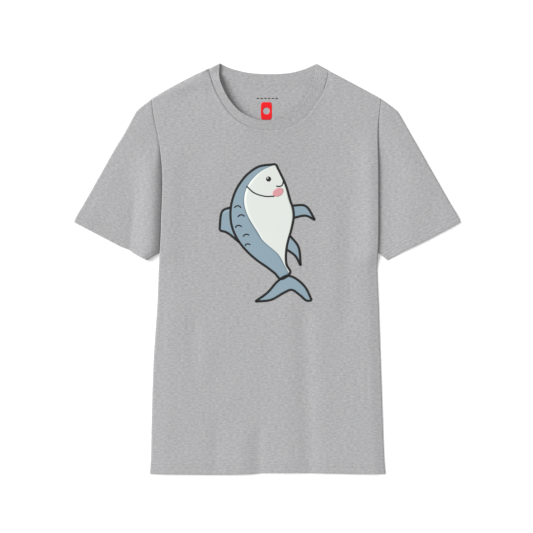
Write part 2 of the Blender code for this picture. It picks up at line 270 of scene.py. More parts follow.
# %% [markdown]
# ## How the cloth lies
#
# Laid on a table, a shirt is two layers with a little air between them. The front rolls down to the back
# along its sides and shoulders, stands over the sleeves at the armholes, and rises to the collar. Long
# soft folds run down it. All of this is one height field, a sum of a few plain bumps, listed one by one.
# A cloth simulation would also settle two layers, but its folds would land where they like.

# %% Heights in mm
SEAM_HEIGHT = 1.2               # above the table, where front and back meet and their walls overlap
AIR = 4.4                       # middle of the front's wall over open body
SIDE_ROLL = 3.4
SHOULDER_ROLL = {-1: 1.5, 1: 2.2}
SIDE_SLOPE = {-1: 32.0, 1: 20.0}        # beyond the roll the cloth still rises gently over this distance
ROLL_SHARE = {-1: 0.55, 1: 0.40}        # of the rise that the roll makes
SHOULDER_PART = {-1: 0.95, 1: 0.55}     # the same at the shoulders
FLUSH, DEEP = 3.3, 2.4          # the front's edge at the armhole, where the seam is flush and in the crease
ARM_STAND = {-1: 2.6, 1: 4.6}    # the front is fuller beside the crease
CREASE_TOP = {-1: 238.0, 1: 292.0}      # where the armhole seam turns from flush to a deep crease
CREASE_FADE = {-1: 80.0, 1: 130.0}
NECK_CENTRE = (0.0, 358.0)
NECK_RADIUS = 107.0
RIB_WIDTH = 19.0
NECK_LIFT, NECK_LIFT_RUN = 8.2, 140.0
COLLAR_STAND, COLLAR_STAND_RUN = 1.0, 5.0
LEFT_SHARE = 0.16
FOLDS = [  # end points (x, y), half-width, height: a trough is negative
    ((66, -50), (77, -400), 15, -1.5),
    ((92, -60), (100, -400), 22, 0.5),
    ((32, -20), (34, -400), 22, 0.7),
    ((-15, -255), (-16, -400), 11, -1.2),
    ((-45, -260), (-46, -400), 15, 0.9),
    ((-90, -250), (-94, -400), 11, -0.9),
    ((-132, -60), (-132, -210), 13, -0.9),
    ((-112, -80), (-110, -220), 16, 0.4),
    ((146, 150), (142, -130), 16, -1.1),
    ((120, 100), (118, -80), 20, 0.5),
    ((-60, 225), (-110, 150), 18, 0.5),
    ((150, 250), (120, 190), 16, -0.4),
    ((-195, 306), (-40, 389), 12, 2.6),
]
FOLD_FADE = 50.0
ARM_FADE = 30.0                 # below the underarm, where the side's shape turns into the armhole's
ARM_ROLL, ARM_ROLL_SHARE = 0.5, 0.7     # how much narrower the roll is there, and its share of the rise
STAND_AT, STAND_RUN = 6.0, 24.0         # the fullness beside the crease
HEM_TOP, HEM_FADE, HEM_FULLNESS = 42.0, 20.0, 0.4
SHOULDER_REACH, SHOULDER_SLOPE = 90.0, 40.0
NECK_ROLL = 2.8                 # the rise to the neck ends this close to the shoulder's edge
NECK_INSIDE = -4.0              # the rise stops growing this far inside the free edge
NECK_TURN = 13                  # degrees below the shoulders over which the rise comes in
NECK_SIDE, NECK_SIDE_RUN = -50.0, 160.0 # the x from which it fades to the wearer's left


def folds_height(x, y, folds):
    """The sum of the folds: across each a bell, along it a fade at both ends."""
    height = np.zeros(np.shape(x))
    for (x0, y0), (x1, y1), half, rise in folds:
        length = math.hypot(x1 - x0, y1 - y0)
        dx, dy = (x1 - x0) / length, (y1 - y0) / length
        run = (x - x0) * dx + (y - y0) * dy
        aside = (x - x0) * dy - (y - y0) * dx
        fade = smooth(run / FOLD_FADE) * smooth((length - run) / FOLD_FADE)
        height = height + rise * fade * bell(aside / half)
    return height


def unevenness(x, y):
    """The slight unevenness of cloth that was smoothed by hand: a few crossing waves, 60 to 140 mm long."""
    waves = [(0.052, 0.021, 0.3), (-0.031, 0.064, 1.7), (0.071, -0.043, 2.9), (0.018, 0.094, 4.1)]
    return 0.09 * sum(np.sin(kx * x + ky * y + phase) for kx, ky, phase in waves)


def neck_rise(x, y):
    """How far the front stands up at the neck: a broad slope and a steeper turn-up at the rib's free
    edge, most on the wearer's right, fading to nothing at the shoulders."""
    down = NECK_CENTRE[1] - y
    past = np.maximum(np.hypot(x - NECK_CENTRE[0], down) - NECK_RADIUS + RIB_WIDTH, NECK_INSIDE)
    turn = smooth(np.arctan2(down, np.abs(x)) / math.radians(NECK_TURN))
    side = 1.0 + (LEFT_SHARE - 1.0) * smooth((x - NECK_SIDE) / NECK_SIDE_RUN)
    rise = NECK_LIFT * np.exp(-past / NECK_LIFT_RUN) + COLLAR_STAND * np.exp(-past / COLLAR_STAND_RUN)
    return side * turn * rise


def below_shoulder(x, y):
    """The distance of a point from the shoulder line of its side, and from its bow."""
    sign = np.where(x < 0, -1, 1)
    found = np.zeros(np.shape(x))
    for side in (-1, 1):
        point, corner = shoulder_line(side, np.array([0.0, 1.0]))
        length = np.linalg.norm(corner - point)
        way = (corner - point) / length
        run = ((x - point[0]) * way[0] + (y - point[1]) * way[1]) / length
        off = np.abs((x - point[0]) * way[1] - (y - point[1]) * way[0])
        off = off + SHOULDER_BOW[side] * np.sin(np.pi * np.clip(run, 0.0, 1.0))
        found = np.where(sign == side, off, found)
    return found


def crease(sign, y):
    """1 where the armhole is a deep crease, 0 at the shoulder, where its seam lies flush."""
    return smooth((CREASE_TOP[sign] - y) / CREASE_FADE[sign])


def by_side(x, value):
    """A value that is different on the two sides of the body, value(-1) or value(1)."""
    return np.where(x < 0, value(-1), value(1))


def inside_edge(x, y):
    """How far a point is inside the body's side."""
    return np.abs(by_side(x, lambda s: half_width(s, y)) - np.abs(x))


def roll_off(distance, roll, slope, share):
    """0 at an edge and 1 inside: a quarter-round roll, then a gentle slope that makes up the rest."""
    return share * rounded(distance / roll) + (1.0 - share) * smooth(distance / slope)


def front_height(x, y):
    """The middle of the front's wall: a low edge, a quarter-round roll and a gentle slope up to the open
    cloth, which carries the folds and the rise to the neck."""
    from_side = inside_edge(x, y)
    deep = by_side(x, lambda s: crease(s, y))
    arm = smooth((y - UNDERARM_Y + ARM_FADE) / ARM_FADE)
    low = SEAM_HEIGHT + arm * (FLUSH + (DEEP - FLUSH) * deep - SEAM_HEIGHT)
    stand = by_side(x, lambda s: ARM_STAND[s]) * arm * deep * bell((from_side - STAND_AT) / STAND_RUN)
    hem = smooth((HEM_Y + HEM_TOP - y) / HEM_FADE)
    open_cloth = AIR + folds_height(x, y, FOLDS) + unevenness(x, y) + stand + HEM_FULLNESS * hem
    slope, share = by_side(x, lambda s: SIDE_SLOPE[s]), by_side(x, lambda s: ROLL_SHARE[s])
    roll = SIDE_ROLL * (1.0 - ARM_ROLL * arm)
    share = share + (ARM_ROLL_SHARE - share) * arm
    height = low + (open_cloth - low) * roll_off(from_side, roll, slope, share)
    from_shoulder = np.where(y > SHOULDER_Y - SHOULDER_REACH, below_shoulder(x, y), SHOULDER_REACH)
    roll, share = by_side(x, lambda s: SHOULDER_ROLL[s]), by_side(x, lambda s: SHOULDER_PART[s])
    shoulder = roll_off(from_shoulder, roll, SHOULDER_SLOPE, share)
    rise = neck_rise(x, y) * rounded(from_shoulder / NECK_ROLL)
    return SEAM_HEIGHT + (height - SEAM_HEIGHT) * shoulder + rise


BACK_NECK_RISE, BACK_NECK_RUN = 0.85, 7.0   # at the neck the back is as high as the band sewn to it
BACK_ARM_FADE, BACK_ARM_FLAT = 6.0, 9.0     # above the underarm its side doesn't turn up
back_seam_points = back_seam(np.linspace(0.0, 1.0, 300))


def back_height(x, y):
    """The back lies on the table. Only its sides and shoulders turn up, in a small round, to their seams."""
    flat = BACK_ARM_FLAT * smooth((y - UNDERARM_Y + BACK_ARM_FADE) / BACK_ARM_FADE)
    edge = np.minimum(inside_edge(x, y) + flat, below_shoulder(x, y))
    radius = SEAM_HEIGHT - ON_TABLE
    lifted = BACK_NECK_RISE * bell(distance_to(back_seam_points, x, y) / BACK_NECK_RUN)
    return ON_TABLE + radius * (1.0 - rounded(edge / radius)) + lifted


probe = front_height(np.array([0.0, 0.0, -66.0, 66.0]), np.array([0.0, 262.0, 300.0, 300.0]))
print("front at the chest, collar bottom, right and left, mm:", probe.round(1))

# %% [markdown]
# ## Jersey
#
# Heather grey jersey is knitted from yarn in which dark and light fibres are blended, so its grey is made
# of short streaks that lie along the rows of knitting. Under that is the knit: columns of small V-shaped
# loops. The streaks are noise stretched along the rows. The loops are two waves, one across the columns
# and one that zigzags down them, and they only lift the surface. All of it reads the piece's own pattern
# coordinates, so the rows turn with a sleeve.


# %% Colours and nodes
def srgb(code):
    """A hex colour as the linear red, green, blue and alpha that a shader takes."""
    values = np.array([int(code[i : i + 2], 16) / 255 for i in (1, 3, 5)])
    linear = np.where(values <= 0.04045, values / 12.92, ((values + 0.055) / 1.055) ** 2.4)
    return (*linear.tolist(), 1.0)


def add(tree, kind, sockets=None, **settings):
    """Adds a node with its settings. Each socket gets a value, or a link from another node's output."""
    made = tree.nodes.new(kind)
    for name, value in settings.items():
        setattr(made, name, value)
    for socket, value in (sockets or {}).items():
        if isinstance(value, bpy.types.NodeSocket):
            tree.links.new(value, made.inputs[socket])
        else:
            made.inputs[socket].default_value = value
    return made


def new_material(name, roughness, **constants):
    """A material with its Principled shader set to constants; gives the material, its tree and shader."""
    material = bpy.data.materials.new(name)
    material.use_nodes = True
    tree = material.node_tree
    shader = tree.nodes["Principled BSDF"]
    shader.inputs["Roughness"].default_value = roughness
    for socket, value in constants.items():
        shader.inputs[socket.replace("_", " ")].default_value = value
    return material, tree, shader


def ramp(tree, factor, stops):
    """Colours by a factor: stops are (position, hex)."""
    made = add(tree, "ShaderNodeValToRGB", {"Fac": factor})
    elements = made.color_ramp.elements
    while len(elements) < len(stops):
        elements.new(0.5)
    for element, (position, code) in zip(elements, stops):
        element.position = position
        element.color = srgb(code)
    return made.outputs["Color"]


def maths(tree, operation, *values):
    """The output of a Math node on these values."""
    return add(tree, "ShaderNodeMath", dict(enumerate(values)), operation=operation).outputs[0]


def knit_relief(tree, cut, wale, course):
    """The height of jersey's face: a cosine across the columns of loops, and a sine down them whose
    phase goes up and down across each column, which draws the V of every loop."""
    place = add(tree, "ShaderNodeSeparateXYZ", {"Vector": cut})
    column = maths(tree, "MULTIPLY", place.outputs["X"], 1 / (wale * MM))
    ribs = maths(tree, "COSINE", maths(tree, "MULTIPLY", column, math.tau))
    slant = maths(tree, "PINGPONG", column, 0.5)
    row = maths(tree, "MULTIPLY_ADD", place.outputs["Y"], 1 / (course * MM), slant)
    loops = maths(tree, "SINE", maths(tree, "MULTIPLY", row, math.tau))
    return maths(tree, "ADD", ribs, loops)


# %% Heather grey jersey
WALE = 1.6                      # mm between columns of loops; real jersey has about 0.9, too fine to show
COURSE = 1.3                    # mm between rows of loops
STREAK = (6.2, 2.5)             # mm along and across the rows of a fibre streak


def heather(name, shades, wale, depth):
    """Knitted cotton of blended fibres: matt, faintly fuzzy at a glancing angle, streaked along its
    rows, with its loops as a relief of `depth` mm."""
    material, tree, shader = new_material(
        name, 0.95, Specular_IOR_Level=0.2, Sheen_Weight=0.08, Sheen_Roughness=0.6
    )
    cut = add(tree, "ShaderNodeUVMap", uv_map="cut").outputs["UV"]
    per_streak = (1 / (STREAK[0] * MM), 1 / (STREAK[1] * MM), 1.0)
    stretched = add(tree, "ShaderNodeMapping", {"Vector": cut, "Scale": per_streak}).outputs["Vector"]
    noise = {"Vector": stretched, "Scale": 1.0, "Detail": 3.0, "Roughness": 0.62, "Distortion": 0.25}
    streaks = add(tree, "ShaderNodeTexNoise", noise, noise_dimensions="2D").outputs["Fac"]
    noise = {"Vector": cut, "Scale": 1 / (1.1 * MM), "Detail": 1.0, "Roughness": 0.5}
    flecks = add(tree, "ShaderNodeTexNoise", noise, noise_dimensions="2D").outputs["Fac"]
    mixed = add(tree, "ShaderNodeMix", {0: 0.35, 2: streaks, 3: flecks}, data_type="FLOAT").outputs[0]
    stops = list(zip((0.30, 0.47, 0.55, 0.72), shades))
    tree.links.new(ramp(tree, mixed, stops), shader.inputs["Base Color"])
    knit = knit_relief(tree, cut, wale, COURSE)
    fuzzy = maths(tree, "MULTIPLY_ADD", streaks, 2.0, knit)
    bump = add(tree, "ShaderNodeBump", {"Height": fuzzy, "Strength": 1.0, "Distance": depth * MM / 4})
    tree.links.new(bump.outputs["Normal"], shader.inputs["Normal"])
    return material


# Carded cotton with a tenth of black fibre: mid grey with short pale and dark streaks, no shine.
jersey = heather("heather grey cotton jersey", ("#9E9EA0", "#AFAFB1", "#B4B4B5", "#C4C4C4"), WALE, 0.12)
# The same yarn in 1x1 rib. The ribs are in the mesh, so only the loops along them are a relief here.
rib_knit = heather("heather grey cotton rib", ("#9D9D9F", "#AEAEB0", "#B3B3B4", "#C2C2C2"), 1.0, 0.10)

# Core-spun polyester sewing thread, dyed to match: smoother and a shade paler than the cloth.
THREAD_TWIST = 0.8              # mm along the thread for one turn of its two plies
thread, thread_tree, thread_shader = new_material("matching polyester sewing thread", 0.65)
thread_cut = add(thread_tree, "ShaderNodeUVMap", uv_map="cut").outputs["UV"]
# The twist of the two plies is drawn in the colour as bands of painted light and shade.
ply_shading = {"Vector": thread_cut, "Scale": 1 / (THREAD_TWIST * MM) / math.tau, "Distortion": 0.5}
ply_shading = add(thread_tree, "ShaderNodeTexWave", ply_shading, bands_direction="DIAGONAL").outputs["Fac"]
thread_colour = ramp(thread_tree, ply_shading, [(0.0, "#A2A2A4"), (1.0, "#B8B8B9")])
thread_tree.links.new(thread_colour, thread_shader.inputs["Base Color"])

# %% [markdown]
# ## Turned edges
#
# Every free edge of a T-shirt is turned in and sewn, and the neckband is a strip folded in half. So each
# piece here is one surface whose grid starts inside, goes round the edge and comes back along the
# outside. The inside layer is the outer surface moved in along its normals. A separate strip for the
# hem would be simpler, but it would show a crack along the edge, where real cloth just bends.

# %% Rows of a turned edge
NUDGE = 1e-4                    # step in u and v for a normal


def turned_rows(turn, near, rest, largest=4.0):
    """Rows from the end of the inside layer, round the edge and up the outside. Each has a distance from
    the edge in mm, the share of the way on from the last near row, and its angle round the turn, -90
    degrees inside and 90 outside."""
    inside = np.concatenate([[turn], np.linspace(turn - 0.4, 1.0, 8)])
    around = np.linspace(-90.0, 90.0, 9)
    share = graded(rest, 0.5, largest)[1:] if rest else np.zeros(0)
    reach = np.concatenate([inside, np.zeros(9), near, np.full(len(share), near[-1])])
    share = np.concatenate([np.zeros(len(inside) + 9 + len(near)), share])
    angle = np.concatenate([np.full(len(inside), -90.0), around, np.full(len(near) + len(share), 90.0)])
    return reach, share, angle[: len(reach)]


def stitch_rows(rows):
    """Distances from the edge close enough together to draw the sewn rows of a hem, in mm."""
    return np.concatenate([np.linspace(1.0, rows[0] - 2.0, 5), np.arange(rows[0] - 1.5, rows[1] + 4.1, 0.5)])


def normals_of(surface, u, v):
    """Unit normals of a surface: the cross product of its two directions at each point."""
    along_u = surface(np.clip(u + NUDGE, 0, 1), v) - surface(np.clip(u - NUDGE, 0, 1), v)
    along_v = surface(u, np.clip(v + NUDGE, 0, 1)) - surface(u, np.clip(v - NUDGE, 0, 1))
    normal = np.cross(along_u, along_v)
    return normal / np.maximum(np.linalg.norm(normal, axis=-1, keepdims=True), 1e-12)


def turned_sheet(surface, u, rows, length, inward, relief):
    """The points of a surface with its v = 0 edge turned in. `inward` is 1 or -1, the side that the
    normals leave free for the inside layer. A relief moves points outwards, by their distance from the
    edge, their x, how far the outside faces up there, and -1 inside to 1 outside."""
    reach, share, angle = (row[:, None] for row in rows)
    size = length(u)[None] if callable(length) else length
    turn = np.radians(angle)
    last = reach.max() if share.max() else 0.0
    distance = reach + TURN_RADIUS * (1 - np.cos(turn)) + share * (size - last - TURN_RADIUS)
    grid_u = np.broadcast_to(u[None], (len(reach), len(u)))
    grid_v = np.broadcast_to(np.clip(distance / size, 0.0, 1.0), grid_u.shape)
    points = surface(grid_u, grid_v)
    hem = share[:, 0] == 0
    outward = -inward * normals_of(surface, grid_u[hem], grid_v[hem])
    shift = -TURN_RADIUS * (1 - np.sin(turn[hem])) * np.ones(outward.shape[:2])
    side = np.sin(turn[hem]) * np.ones(shift.shape)
    shift = shift + relief(distance[hem] * np.ones(shift.shape), points[hem][..., 0], outward[..., 2], side)
    points[hem] = points[hem] + shift[..., None] * outward
    return points, grid_u, grid_v


STITCH_DEPTH, PROUD = 0.28, 0.16


def hem_relief(stitches):
    """The outside of a sewn hem: its rows of stitches are pressed in, and where it faces up, the cloth
    between is a little proud and puckers where the thread draws it."""

    def relief(distance, x, facing, side):
        proud = PROUD * smooth((stitches[1] + 6.0 - distance) / 6.0) * rounded(distance / 2.0)
        puckers = np.sin(x / 2.3 + 1.3 * np.sin(x / 17.0)) + 0.6 * np.sin(x / 5.1 + 2.0)
        proud = proud + 0.07 * puckers * bell((distance - stitches[0] - 3.0) / 6.0)
        pressed = sum(bell((distance - row) / 0.8) for row in stitches)
        return (side > 0.99) * (proud * smooth(2.0 * facing) - STITCH_DEPTH * pressed)

    return relief


# %% [markdown]
# ## Front and back
#
# Each panel is one patch between its hem, its sides, and its shoulders and neck.

# %% Panels
NECK_GAP = 0.06                 # mm in plan between a panel and the rib; their walls overlap in places
SHOULDER_SHARE = 0.18           # share of a panel's width, as counted along its grid, under each shoulder
BODY_LENGTH = SHOULDER_Y - HEM_Y


def panel_top(seam):
    """A panel's upper edge for u from 0 to 1: right shoulder, neck, left shoulder."""
    first = SHOULDER_SHARE

    def at(u):
        neck_u = np.clip((u - first) / (1 - 2 * first), 0.0, 1.0)
        ahead = seam(np.clip(neck_u + 0.004, 0, 1)) - seam(np.clip(neck_u - 0.004, 0, 1))
        away = np.stack([ahead[..., 1], -ahead[..., 0]], -1) / np.linalg.norm(ahead, axis=-1, keepdims=True)
        neck = seam(neck_u) + NECK_GAP * away
        neck[..., 1] -= BAND_STEP[1] * smooth((neck_u - 0.97) / 0.03)
        right = shoulder_line(-1, np.clip(u / first, 0, 1))
        left = shoulder_line(1, np.clip((1 - u) / first, 0, 1))
        return np.where(u[..., None] < first, right, np.where(u[..., None] > 1 - first, left, neck))

    return at


def panel_surface(seam, height):
    """A body panel as laid, the middle of its wall as a function of u across and v up the body."""
    plan = coons(
        hem_curve,
        panel_top(seam),
        lambda t: np.stack([-half_width(-1, HEM_Y + BODY_LENGTH * t), HEM_Y + BODY_LENGTH * t], -1),
        lambda t: np.stack([half_width(1, HEM_Y + BODY_LENGTH * t), HEM_Y + BODY_LENGTH * t], -1),
    )

    def surface(u, v):
        flat = plan(u, v)
        return np.concatenate([flat, height(flat[..., 0], flat[..., 1])[..., None]], axis=-1)

    return surface


GROOVE, GROOVE_RUN = 1.0, 1.2           # the neck seam on the front, in mm
RIDGE, RIDGE_AT, RIDGE_RUN = 0.6, 3.6, 2.0
VALLEY, VALLEY_RUN = 2.3, 11.0
VALLEY_FROM, VALLEY_FADE = 300.0, 30.0  # the heights y over which the valley comes in
SEAM_FADE, SEAM_SIDE, SEAM_SIDE_RUN = 0.65, -50.0, 70.0     # the seam is fainter on the wearer's left
SEAM_END = 5.0                          # and it runs out this close to the shoulder's edge


def at_neck_seam(x, y):
    """The front beside the rib: a groove at the seam, then a low ridge over the seam's turnings, and
    near the wearer's right shoulder a valley as well."""
    past = distance_to(seam_points, x, y)
    share = 1.0 - SEAM_FADE * smooth((x - SEAM_SIDE) / SEAM_SIDE_RUN)
    share = share * smooth(below_shoulder(x, y) / SEAM_END)
    valley = VALLEY * smooth((y - VALLEY_FROM) / VALLEY_FADE) * bell(past / VALLEY_RUN)
    ridge = RIDGE * bell((past - RIDGE_AT) / RIDGE_RUN)
    return share * (ridge - GROOVE * bell(past / GROOVE_RUN) - valley)


seam_points = front_seam(np.linspace(0.0, 1.0, 400))
front_surface = panel_surface(front_seam, lambda x, y: front_height(x, y) + at_neck_seam(x, y))
back_surface = panel_surface(back_seam, back_height)


def make_panel(name, node, surface, inward):
    """A body panel with its hem turned up under the outer layer."""
    shoulder_u = SHOULDER_SHARE * graded(76.0, 0.35, 4.0, ends=1)
    neck_u = SHOULDER_SHARE + (1 - 2 * SHOULDER_SHARE) * np.linspace(0.0, 1.0, 96)
    u = np.concatenate([shoulder_u[:-1], neck_u, 1.0 - shoulder_u[-2::-1]])
    near = stitch_rows(HEM_STITCHES)
    rows = turned_rows(HEM_TURN, near, BODY_LENGTH - near[-1])
    points, grid_u, grid_v = turned_sheet(surface, u, rows, BODY_LENGTH, inward, hem_relief(HEM_STITCHES))
    pattern = surface(grid_u, grid_v)[..., :2]
    inside = np.broadcast_to((rows[2] < 0)[:, None], grid_u.shape)
    pattern[..., 1] = np.where(inside, 2 * HEM_Y - pattern[..., 1], pattern[..., 1])
    faces = grid_faces(*grid_u.shape)
    if inward > 0:
        faces = faces[:, ::-1]
    flat_points = points.reshape(-1, 3)
    piece = put_mesh(name, flat_points, faces, pattern.reshape(-1, 2), [jersey], wall=JERSEY)
    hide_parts(node)
    return piece, cloth_area(flat_points, faces)


front, front_area = make_panel("front_of_body", "front_panel", front_surface, -1)
back, back_area = make_panel("back_of_body", "back_panel", back_surface, 1)
print("front and back, m2:", round(front_area, 3), round(back_area, 3))

# %% [markdown]
# ## Sleeves
#
# A sleeve is a tapered tube, laid flat. Its upper and lower layers are two heights over one flat patch,
# and they meet along the two folds, so the patch is gone round once. At the armhole the upper layer
# runs in under the front's edge, and dives as it does, which makes the soft dark crease there.

# %% Sleeve heights
SLEEVE_AIR = 3.9
CUFF_WAVE = {-1: (250.0, 8.0, 2.0), 1: (246.0, 24.0, 1.9)}      # a bend in the cuff: x, half-width, height
CUFF_MID, FOLD_MID = 1.65, 1.2          # height of a fold's outermost line, at the cuff and elsewhere
SLEEVE_ROLL, SLEEVE_SLOPE = 3.2, 26.0
CREASE_LOW, CREASE_FLUSH = 1.5, 2.7     # the upper layer at the armhole
TUCK = 4.0                              # how far it runs in under the front
SLEEVE_PUFF = {-1: 6.6, 1: 0.4}         # the sleeve is fuller beside the crease
CREASE_RUN = {-1: 19.0, 1: 60.0}        # across which the sleeve dives to the crease
SLEEVE_FOLDS = {
    -1: [
        ((236, 150), (255, -30), 6, -1.1),
        ((262, 140), (276, 30), 12, 0.5),
        ((300, 190), (318, 90), 20, -0.5),
    ],
    1: [
        ((286, 160), (312, 60), 12, -0.6),
        ((255, 230), (280, 120), 22, 0.6),
        ((330, 120), (318, 60), 12, 0.3),
    ],
}
CUFF_REACH, CUFF_FADE = 34.0, 14.0      # how far from the cuff its fuller fold goes
FLUSH_RUN, DIVE_POWER = 3.0, 2.3
PUFF_RUN = 24.0
UPPER_SHARE = 0.6                       # of the rise that the roll makes along the upper fold
LOWER_ROLL, LOWER_SLOPE, LOWER_SHARE = 2.4, 12.0, 0.72
cuff_way = np.array(CUFF_TIP) - CUFF_CORNER
cuff_way = cuff_way / np.linalg.norm(cuff_way)


def make_sleeve_surface(sign):
    """A sleeve as a closed ring, the middle of its wall as a function of u and v. From u = 0 to a half it
    is the upper layer, from the upper fold to the lower, and then the lower layer, back again; v goes
    from the cuff to the armhole. Also gives the length of each line of v."""
    shoulder = (half_width(sign, SHOULDER_Y) + SEAM, SHOULDER_Y)
    fold = curve_through([shoulder, *SLEEVE_FOLD[sign], CUFF_TIP])
    underarm = np.array([half_width(sign, UNDERARM_Y) + SEAM, UNDERARM_Y])
    inset = JERSEY / 2

    def across(v):
        way = underarm + (np.array(CUFF_CORNER) - underarm) * v[..., None] - fold(v)
        return way / np.linalg.norm(way, axis=-1, keepdims=True)

    def upper_rail(v):
        return fold(1.0 - v) + inset * across(1.0 - v)

    def lower_rail(v):
        return np.array(CUFF_CORNER) + (underarm - CUFF_CORNER) * v[..., None] - inset * across(1.0 - v)

    def cuff(s):
        start, end = upper_rail(np.zeros(1)), lower_rail(np.zeros(1))
        line = start + s[..., None] * (end - start)
        middle, half, rise = CUFF_WAVE[sign]
        return line + np.stack([0.0 * s, rise * bell((line[..., 0] - middle) / half)], axis=-1)

    def armhole(tuck):
        top, bottom = upper_rail(np.ones(1))[0, 1], lower_rail(np.ones(1))[0, 1]

        def at(s):
            y = top + s * (bottom - top)
            under = tuck * smooth((s - 0.08) / 0.12) * smooth((0.93 - s) / 0.10)
            return np.stack([half_width(sign, y) + SEAM - under, y], axis=-1)

        return at

    upper, lower = (coons(cuff, armhole(tuck), upper_rail, lower_rail) for tuck in (TUCK + SEAM, 0.0))
    fold_line = fold(np.linspace(0.0, 1.0, 300))

    def fold_radius(from_cuff):
        return FOLD_MID - ON_TABLE + (CUFF_MID - FOLD_MID) * smooth((CUFF_REACH - from_cuff) / CUFF_FADE)

    def layers(s, v):
        """Both layers at (s, v): the plan of each and its height."""
        high, flat = upper(s, v), lower(s, v)
        x, y = high[..., 0], high[..., 1]
        from_cuff = (high - np.array(CUFF_CORNER)) @ np.array([-cuff_way[1], cuff_way[0]])
        radius = fold_radius(np.abs(from_cuff))
        lower_line = np.array(CUFF_CORNER) - underarm
        lower_line = lower_line / np.linalg.norm(lower_line)
        from_low = np.abs((x - underarm[0]) * lower_line[1] - (y - underarm[1]) * lower_line[0])
        from_low = np.maximum(from_low - inset, 0.0)
        from_up = np.maximum(distance_to(fold_line, x, y) - inset, 0.0)
        from_up, from_low = np.where(s == 0, 0.0, from_up), np.where(s == 1, 0.0, from_low)
        from_body = x - half_width(sign, y) - SEAM
        deep = crease(sign, y)
        low = CREASE_FLUSH + (CREASE_LOW - CREASE_FLUSH) * deep
        run = FLUSH_RUN + (CREASE_RUN[sign] - FLUSH_RUN) * deep
        share = np.clip(from_body / run, 0.0, 1.0)
        if sign < 0:
            dive = 1.0 - (1.0 - share) ** DIVE_POWER
        else:
            dive = smooth(1.25 * share - 0.25) * deep + rounded(share) * (1 - deep)
        puff = SLEEVE_PUFF[sign] * deep * bell(np.maximum(from_body - CREASE_RUN[sign], 0.0) / PUFF_RUN)
        open_cloth = SLEEVE_AIR + folds_height(x, y, SLEEVE_FOLDS[sign]) + unevenness(x + 400, y) + puff
        height = low + (open_cloth - low) * dive
        middle = ON_TABLE + radius
        height = middle + (height - middle) * roll_off(from_up, SLEEVE_ROLL, SLEEVE_SLOPE, UPPER_SHARE)
        height = middle + (height - middle) * roll_off(from_low, LOWER_ROLL, LOWER_SLOPE, LOWER_SHARE)
        low_up = np.maximum(distance_to(fold_line, flat[..., 0], flat[..., 1]) - inset, 0.0)
        edge = np.minimum(np.where(s == 0, 0.0, low_up), from_low)
        under = middle - radius * rounded(edge / radius)
        return high, height, flat, under

    def surface(u, v):
        turn = np.mod(u, 1.0) * 2.0
        s = np.where(turn <= 1.0, turn, 2.0 - turn)
        high, height, flat, under = layers(s, v)
        upper_side = (turn <= 1.0)[..., None]
        plan = np.where(upper_side, high, flat)
        z = np.where(upper_side[..., 0], height, under)
        return np.concatenate([plan * (sign, 1), z[..., None]], axis=-1)

    def length(u):
        turn = np.mod(u, 1.0) * 2.0
        s = np.where(turn <= 1.0, turn, 2.0 - turn)
        return np.linalg.norm(lower(s, np.ones(s.shape)) - lower(s, np.zeros(s.shape)), axis=-1)

    return surface, length


def make_sleeve(name, node, sign):
    """A sleeve with its cuff turned in, cut from the same jersey."""
    surface, length = make_sleeve_surface(sign)
    half = graded(150.0, 0.3, 3.2) / 2
    u = np.concatenate([half, 0.5 + half[1:-1]])
    near = stitch_rows(CUFF_STITCHES)
    rows = turned_rows(CUFF_TURN, near, 180.0)
    points, grid_u, grid_v = turned_sheet(surface, u, rows, length, sign, hem_relief(CUFF_STITCHES))
    flat = surface(grid_u, grid_v)[..., :2] * (sign, 1) - np.array(CUFF_CORNER)
    side = flat @ cuff_way
    up = flat @ np.array([-cuff_way[1], cuff_way[0]])
    side = np.where(grid_u <= 0.5, side, 300.0 - side)
    up = np.where((rows[2] < 0)[:, None], -up, up)
    faces = grid_faces(*grid_u.shape, around=True)
    if sign > 0:
        faces = faces[:, ::-1]
    flat_points = points.reshape(-1, 3)
    pattern = np.stack([side, up], axis=-1).reshape(-1, 2)
    piece = put_mesh(name, flat_points, faces, pattern, [jersey], wall=JERSEY)
    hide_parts(node)
    return piece, cloth_area(flat_points, faces), surface, length


right_sleeve, right_area, right_surface, right_length = make_sleeve("right_sleeve", "sleeve_right", -1)
left_sleeve, left_area, left_surface, left_length = make_sleeve("left_sleeve", "sleeve_left", 1)
print("sleeves, m2:", round(right_area, 4), round(left_area, 4))

# %% [markdown]
# ## Neckband
#
# A strip of 1x1 rib, folded in half along its length and sewn round the neck by its two raw edges. It is
# shorter than the neckline, so it pulls the edge in and stands up a little. It is one turned surface
# again, closed round the neck, with the ribs in its shape.

# %% Neckband
RIB_PITCH = 2.0                 # mm from one rib to the next
RIB_RELIEF = 0.13
RIB_WALL = 0.5
POINTS_PER_RIB = 4
BAND_ON_TABLE = 0.3
BAND_MIDDLE, BAND_LEAST = 1.6, 0.6      # the middle of its fold at a shoulder, and the least rise from there
BAND_PROUD, BAND_SUNK = 0.1, 0.35       # above the front, and drawn down towards the seam
TOP_ROLL, UNDER_ROLL = 3.0, 1.0
DRAWN_IN, DRAWN_SHARE = 0.55, 0.03


def band_half(seam, edge):
    """One half of the band, from the wearer's right shoulder to the left: a ruled strip from its seam
    (v = 1) to its free edge (v = 0)."""
    return lambda t, v: edge(t) + v[..., None] * (seam(t) - edge(t))


